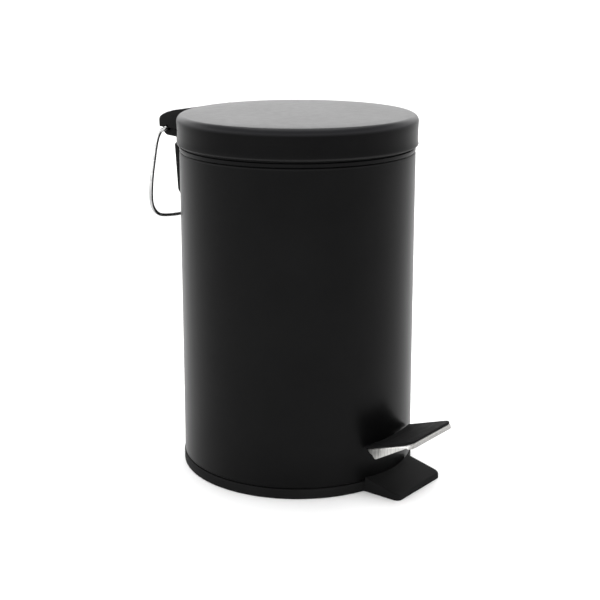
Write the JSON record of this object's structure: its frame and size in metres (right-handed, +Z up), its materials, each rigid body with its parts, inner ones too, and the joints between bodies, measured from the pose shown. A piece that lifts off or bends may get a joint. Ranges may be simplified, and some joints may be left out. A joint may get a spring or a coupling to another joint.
{
  "type": "pedal trash can",
  "caption": "Small round pedal bin: steel body and lid, moulded base with step plate, pedal linkage that lifts the lid, rear wire carry handle and a lift-out bucket.",
  "frame": {"origin": "centre of the base's underside, where the bin stands on the floor", "axes": "+Z up along the body's axis, -Y towards the pedal, +Y towards the lid's hinge, +X to the right seen from the pedal"},
  "size_m": [0.1716, 0.2267, 0.257],
  "materials": {
    "powder_coat": "satin black powder coat",
    "moulded_black": "fine-grained black moulding",
    "pedal_rubber": "matt, textured",
    "brushed_steel": "brushed",
    "chrome_wire": "bright chrome plate",
    "zinc_steel": "dull zinc plate",
    "bucket_plastic": "satin black moulding",
    "bail_wire": "zinc-plated wire"
  },
  "bodies": {
    "bin": {"outer_body": "powder_coat", "base": "moulded_black", "hinge_bracket": "moulded_black", "bracket_screw_left": "zinc_steel", "bracket_screw_right": "zinc_steel", "bracket_washer_left": "zinc_steel", "bracket_washer_right": "zinc_steel", "hinge_pin": "zinc_steel", "pedal_pin": "zinc_steel", "pedal_pin_clip": "zinc_steel"},
    "lid": {"lid_shell": "powder_coat", "lid_hinge_hood": "moulded_black", "lid_arm": "zinc_steel", "lid_rivet_left": "zinc_steel", "lid_rivet_right": "zinc_steel"},
    "pedal": {"pedal_lever": "zinc_steel", "pedal_tray": "brushed_steel", "pedal_pad": "pedal_rubber", "pedal_rivet_left": "zinc_steel", "pedal_rivet_right": "zinc_steel"},
    "rod": {"push_rod": "zinc_steel", "rod_clip_top": "zinc_steel", "rod_clip_bottom": "zinc_steel"},
    "handle": {"carry_handle": "chrome_wire"},
    "bucket": {"inner_bucket": "bucket_plastic"},
    "bail": {"bucket_bail": "bail_wire"}
  },
  "joints": [
    {"name": "lid_hinge", "type": "hinge", "parent": "bin", "child": "lid", "pos_m": [0, 0.1, 0.2405], "axis": [-1, 0, 0], "range_deg": [0, 72]},
    {"name": "pedal_pivot", "type": "hinge", "parent": "bin", "child": "pedal", "pos_m": [0, -0.06, 0.026], "axis": [1, 0, 0], "range_deg": [0, 14.27]},
    {"name": "rod_pivot", "type": "hinge", "parent": "lid", "child": "rod", "pos_m": [0, 0.0765, 0.22343], "axis": [1, 0, 0], "range_deg": [0, 72]},
    {"name": "handle_swing", "type": "hinge", "parent": "bin", "child": "handle", "pos_m": [0, 0.1, 0.2405], "axis": [1, 0, 0], "range_deg": [0, 140]},
    {"name": "bucket_lift", "type": "slide", "parent": "bin", "child": "bucket", "axis": [0, 0, 1], "range_m": [0, 0.004]},
    {"name": "bail_swing", "type": "hinge", "parent": "bucket", "child": "bail", "pos_m": [0, -0.0065, 0.244], "axis": [-1, 0, 0], "range_deg": [0, 4.5]}
  ],
  "couplings": [
    {"joint": "pedal_pivot", "follows": "lid_hinge", "ratio": 0.19805},
    {"joint": "rod_pivot", "follows": "lid_hinge", "ratio": 1}
  ]
}
